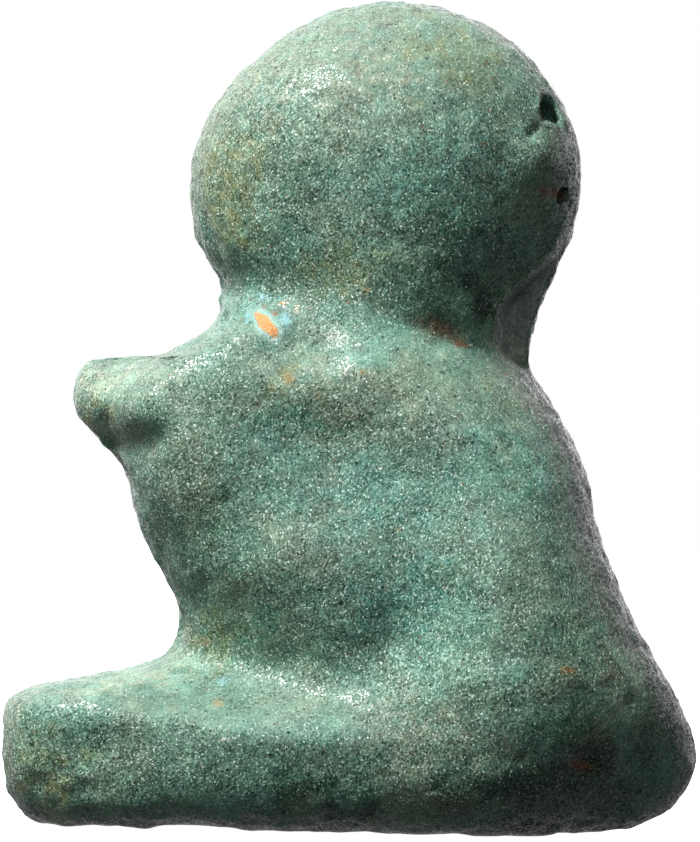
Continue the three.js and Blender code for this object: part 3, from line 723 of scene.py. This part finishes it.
# Pale grains: partly pale quartz, partly painted glints, pale whatever the light.
PALE_GRAIN_AND_GLINT = {"colour": (0.5, 0.6, 0.52, 1), "rarity": (0.92, 1.0), "share": 0.55}
DARK_HOLE = {"colour": (0.012, 0.022, 0.016, 1), "rarity": (0.955, 0.97), "edge": (0.3, 0.5), "share": 0.85}
SPECK = {"colour": (0.2, 0.085, 0.035, 1), "rarity": (0.988, 0.992), "edge": (0.25, 0.45), "share": 0.6}
SPECKLING = {
    "strength": 1.3, "fine": 0.6, "ripple": 1.2, "less": 0.4, "range": (0.0, 0.8), "there": (0.02, 0.3),
    "share": 0.85,
}
# The chip in the glaze at the neck and its crust: its middle, its reach through the thickness, its turn in
# degrees, how ragged it is, and the half sizes of its three ovals.
SCAR = {
    "x": -2.36, "y": -3, "z": 13.27, "reach": 4, "turn": 42, "ragged": 0.25,
    "chip": (0.16, 0.41), "crust_in": (0.17, 0.42), "crust_out": (0.27, 0.52),
}
SCAR_ORANGE = {"colour": (0.5, 0.22, 0.065, 1), "soft": 0.2, "level": 0.5, "fine": 0.4, "ripple": 0.3}
SCAR_CRUST = {"colour": (0.3, 0.46, 0.42, 1), "soft_in": 0.2, "soft_out": 0.4, "share": 0.7}
GRAIN_TILT = 0.35
BUMP = {"ripple": 1.2, "blotch": 0.9, "edge": 0.45, "strength": 0.6, "deep": 0.03}
POLISH = {"dull": 0.5, "swing": 0.26, "specular": 0.24}
COAT = {"polish": (0.78, 0.93), "weight": 0.6, "dull": 0.16}


class Wire:
    """One output of a shader node. An expression on wires adds the Math nodes that work it out."""

    def __init__(self, tree, out=None):
        self.tree = tree
        self.out = out

    def node(self, kind, inputs=None, output=0, **settings):
        """Any node: its settings first, then a number, a colour or a wire for each named input."""
        made = self.tree.nodes.new(kind)
        for name, value in settings.items():
            setattr(made, name, value)
        for name, value in (inputs or {}).items():
            if isinstance(value, Wire):
                self.tree.links.new(value.out, made.inputs[name])
            else:
                made.inputs[name].default_value = value
        return Wire(self.tree, made.outputs[output])

    def maths(self, operation, *values, clamp=False):
        """The result of a Math node."""
        return self.node("ShaderNodeMath", dict(enumerate(values)), operation=operation, use_clamp=clamp)

    def __add__(self, other):
        return self.maths("ADD", self, other)

    __radd__ = __add__

    def __sub__(self, other):
        return self.maths("SUBTRACT", self, other)

    def __rsub__(self, other):
        return self.maths("SUBTRACT", other, self)

    def __mul__(self, other):
        return self.maths("MULTIPLY", self, other)

    __rmul__ = __mul__

    def clip(self):
        """Held between 0 and 1."""
        return self.maths("ADD", self, 0.0, clamp=True)

    def step(self, low, high):
        """0 below low and 1 above high, smooth between."""
        return self.node(
            "ShaderNodeMapRange", {0: self, 1: low, 2: high, 3: 0.0, 4: 1.0}, interpolation_type="SMOOTHSTEP"
        )

    def vector(self, operation, *values):
        """The result of a Vector Math node."""
        return self.node("ShaderNodeVectorMath", dict(enumerate(values)), operation=operation)

    def tint(self, colour, share):
        """This colour mixed towards another by share."""
        return self.node("ShaderNodeMix", {0: share, 6: self, 7: colour}, output=2, data_type="RGBA")


def faience_material():
    """Grains that differ in lightness, polish and tilt, the rare pale ones partly painted glints, then
    pinholes, stains with one painted highlight, specks and the scar.
    """
    made = bpy.data.materials.new("faience")
    made.use_nodes = True
    tree = made.node_tree
    tree.nodes.clear()
    w = Wire(tree)
    place = w.node("ShaderNodeTexCoord", output="Object")

    def grains(size):
        """Cells of a size in mm: the distance from the middle and three random numbers for each."""
        cells = w.node("ShaderNodeTexVoronoi", {"Vector": place, "Scale": 1 / (size * MM)}, output="Distance")
        lots = Wire(tree, cells.out.node.outputs["Color"])
        split = w.node("ShaderNodeSeparateColor", {0: lots})
        return cells, lots, [Wire(tree, out) for out in split.out.node.outputs]

    def noise(size, detail, rough):
        """Soft noise with waves of a size in mm."""
        return w.node(
            "ShaderNodeTexNoise",
            {"Vector": place, "Scale": 1 / (size * MM), "Detail": detail, "Roughness": rough},
        )

    edge, lots, (lightness, polish, rarity) = grains(GRAIN["fine"])
    coarse_edge, _, (coarse_light, coarse_kind, coarse_rarity) = grains(GRAIN["coarse"])
    blotch = noise(GRAIN["blotch"], detail=3.0, rough=0.5)
    ripple = noise(GRAIN["ripple"], detail=2.0, rough=0.6)
    swirl = Wire(tree, blotch.out.node.outputs["Color"])
    wander = swirl.vector("SUBTRACT", swirl, (0.5, 0.5, 0.5))
    wandering = wander.vector("MULTIPLY_ADD", wander, (SCAR["ragged"] * MM,) * 3, place)

    def scar_oval(half, soft):
        """1 inside an oval of the scar, given its half sizes, and 0 outside it, with a ragged edge."""
        centre = ((SCAR["x"] - shift[0]) * MM, SCAR["y"] * MM, SCAR["z"] * MM)
        away = wandering.vector("SUBTRACT", wandering, centre)
        turn = np.radians(SCAR["turn"])
        turned = w.node("ShaderNodeVectorRotate", {"Vector": away, "Angle": turn}, rotation_type="Y_AXIS")
        size = (1 / (half[0] * MM), 1 / (SCAR["reach"] * MM), 1 / (half[1] * MM))
        scaled = turned.vector("MULTIPLY", turned, size)
        length = w.node("ShaderNodeVectorMath", {0: scaled}, output="Value", operation="LENGTH")
        return 1 - length.step(1 - soft, 1 + soft)

    colour = w.node("ShaderNodeAttribute", attribute_name="tone")
    grain = (lightness - 0.5) * LIGHTNESS["fine"] + (ripple - 0.5) * LIGHTNESS["ripple"]
    grain = grain + (coarse_light - 0.5) * LIGHTNESS["coarse"]
    light = LIGHTNESS["level"] + grain * LIGHTNESS["scaled"] + (blotch - 0.5) * LIGHTNESS["blotch"]
    colour = w.node("ShaderNodeVectorMath", {0: colour, "Scale": light}, operation="SCALE")
    colour = colour.vector("ADD", colour, grain * LIGHTNESS["added"])
    colour = colour.vector("MAXIMUM", colour, DARKEST)
    # Painted glints, partly pale quartz: rare grains tinted pale.
    colour = colour.tint(PALE_GRAIN_AND_GLINT["colour"], rarity.step(*PALE_GRAIN_AND_GLINT["rarity"]) * PALE_GRAIN_AND_GLINT["share"])
    hole = coarse_rarity.step(*DARK_HOLE["rarity"]) * (1 - coarse_edge.step(*DARK_HOLE["edge"]))
    colour = colour.tint(DARK_HOLE["colour"], hole * DARK_HOLE["share"])

    # Stains are speckled because they sit between the grains, and the painted highlight on the shoulder is
    # speckled
    # with them: the attribute's colour where it is strong enough for the grain. Then brown specks, and the
    # orange scar at the neck with its pale blue crust.
    spot = w.node("ShaderNodeAttribute", attribute_name="stain_and_highlight")
    strength = Wire(tree, spot.out.node.outputs["Alpha"])
    share = strength * SPECKLING["strength"] + (lightness - 0.5) * SPECKLING["fine"]
    share = share + (ripple - 0.5) * SPECKLING["ripple"] - SPECKLING["less"]
    share = share.step(*SPECKLING["range"]) * strength.step(*SPECKLING["there"])
    colour = colour.tint(spot, share * SPECKLING["share"])
    speck = coarse_kind.step(*SPECK["rarity"]) * (1 - coarse_edge.step(*SPECK["edge"]))
    colour = colour.tint(SPECK["colour"], speck * SPECK["share"])
    crust_out = scar_oval(SCAR["crust_out"], SCAR_CRUST["soft_out"])
    crust = crust_out - scar_oval(SCAR["crust_in"], SCAR_CRUST["soft_in"])
    colour = colour.tint(SCAR_CRUST["colour"], crust.clip() * SCAR_CRUST["share"])
    chip = scar_oval(SCAR["chip"], SCAR_ORANGE["soft"])
    chip = chip * (SCAR_ORANGE["level"] + lightness * SCAR_ORANGE["fine"] + ripple * SCAR_ORANGE["ripple"])
    colour = colour.tint(SCAR_ORANGE["colour"], chip.clip())

    # Each grain's face is tilted and polished in its own way; the ripple lies under them all.
    relief = ripple * BUMP["ripple"] + blotch * BUMP["blotch"] - edge * BUMP["edge"]
    bump = w.node(
        "ShaderNodeBump", {"Strength": BUMP["strength"], "Distance": BUMP["deep"] * MM, "Height": relief}
    )
    tilt = lots.vector("MULTIPLY_ADD", lots, (2 * GRAIN_TILT,) * 3, (-GRAIN_TILT,) * 3)
    facet = tilt.vector("ADD", tilt, bump)
    facet = facet.vector("NORMALIZE", facet)
    skin = w.node(
        "ShaderNodeBsdfPrincipled",
        {
            "Base Color": colour, "Roughness": POLISH["dull"] - polish * POLISH["swing"], "Normal": facet,
            "IOR": 1.5, "Specular IOR Level": POLISH["specular"],
            "Coat Weight": polish.step(*COAT["polish"]) * COAT["weight"], "Coat Roughness": COAT["dull"],
        },
    )
    tree.links.new(skin.out, tree.nodes.new("ShaderNodeOutputMaterial").inputs["Surface"])
    return made


pierced.materials.clear()
pierced.materials.append(faience_material())
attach(amulet, "root")
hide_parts("horus_amulet")

# The studio: a white table in a white room and, close behind the figure, a large white panel that glows
# like a light table and shows only in the grazing edges all around. One soft lamp stands above on the
# left, a weak one in front, and one behind for the far side.
TABLE = {"half": 420, "glow": 1.0}
PANEL = {"half": 420, "glow": 0.38, "y": 60}
PAPER = {"colour": (0.85, 0.85, 0.85, 1), "roughness": 0.9}
WHITE = (1, 1, 1, 1)
# Lamps: name, direction from the figure, distance, size and power in watts.
LAMPS = [
    ("key", (-0.41, -0.39, 0.82), 320, 110, 2.8),
    ("fill", (-0.1, -1.0, 0.15), 420, 300, 0.66),
    ("back fill", (0.2, 1.0, 0.25), 600, 150, 1.7),
]


def square(half):
    """The corners of a square about the origin, in two coordinates."""
    return [(-half, -half), (half, -half), (half, half), (-half, half)]


def sheet(name, corners, glow):
    """A flat white sheet through four corners."""
    made = bpy.data.meshes.new(name)
    made.from_pydata([(x * MM, y * MM, z * MM) for x, y, z in corners], [], [(0, 1, 2, 3)])
    paper = bpy.data.materials.new(name)
    paper.use_nodes = True
    shader = paper.node_tree.nodes["Principled BSDF"]
    shader.inputs["Base Color"].default_value = PAPER["colour"]
    shader.inputs["Roughness"].default_value = PAPER["roughness"]
    shader.inputs["Emission Color"].default_value = WHITE
    shader.inputs["Emission Strength"].default_value = glow
    made.materials.append(paper)
    placed = bpy.data.objects.new(name, made)
    bpy.context.scene.collection.objects.link(placed)
    return placed


table = sheet("table", [(u, v, 0) for u, v in square(TABLE["half"])], TABLE["glow"])
table.visible_diffuse = False
table.visible_glossy = False
panel = sheet("panel", [(u, PANEL["y"], v) for u, v in square(PANEL["half"])], PANEL["glow"])
panel.visible_diffuse = False
panel.visible_camera = False
panel.visible_shadow = False


def lamp(name, direction, distance, size, power):
    """A square area lamp that looks at the middle of the figure from a direction."""
    data = bpy.data.lights.new(name, "AREA")
    data.shape = "SQUARE"
    data.size = size * MM
    data.energy = power
    made = bpy.data.objects.new(name, data)
    aim = Vector((0, 0, HEIGHT / 2 * MM))
    made.location = aim + Vector(direction).normalized() * distance * MM
    made.rotation_euler = (aim - made.location).to_track_quat("-Z", "Y").to_euler()
    bpy.context.scene.collection.objects.link(made)


for name, direction, distance, size, power in LAMPS:
    lamp(name, direction, distance, size, power)

world = bpy.data.worlds.new("studio")
bpy.context.scene.world = world
world.use_nodes = True
world.node_tree.nodes["Background"].inputs["Color"].default_value = WHITE
world.node_tree.nodes["Background"].inputs["Strength"].default_value = 1.0
world.cycles_visibility.diffuse = False
world.cycles_visibility.glossy = False

# The camera looks straight at the near side from far off, turned by the small slope that the
# photograph gives the underside.
PHOTO = {"high": 842, "mm_per_pixel": 0.02645, "slope": 1.2, "middle": (-0.12, 10.79)}
LENS = {"long": 200, "sensor": 24, "nearest": 0.01}
camera_data = bpy.data.cameras.new("camera")
camera_data.sensor_fit = "VERTICAL"
camera_data.sensor_height = LENS["sensor"]
camera_data.lens = LENS["long"]
camera_data.clip_start = LENS["nearest"]
distance = PHOTO["high"] * PHOTO["mm_per_pixel"] * camera_data.lens / camera_data.sensor_height
camera = bpy.data.objects.new("camera", camera_data)
camera.location = ((PHOTO["middle"][0] - shift[0]) * MM, -distance * MM, PHOTO["middle"][1] * MM)
camera.rotation_euler = (np.radians(90), -np.radians(PHOTO["slope"]), 0)
bpy.context.scene.collection.objects.link(camera)
bpy.context.scene.camera = camera
bpy.context.scene.view_settings.view_transform = "Standard"
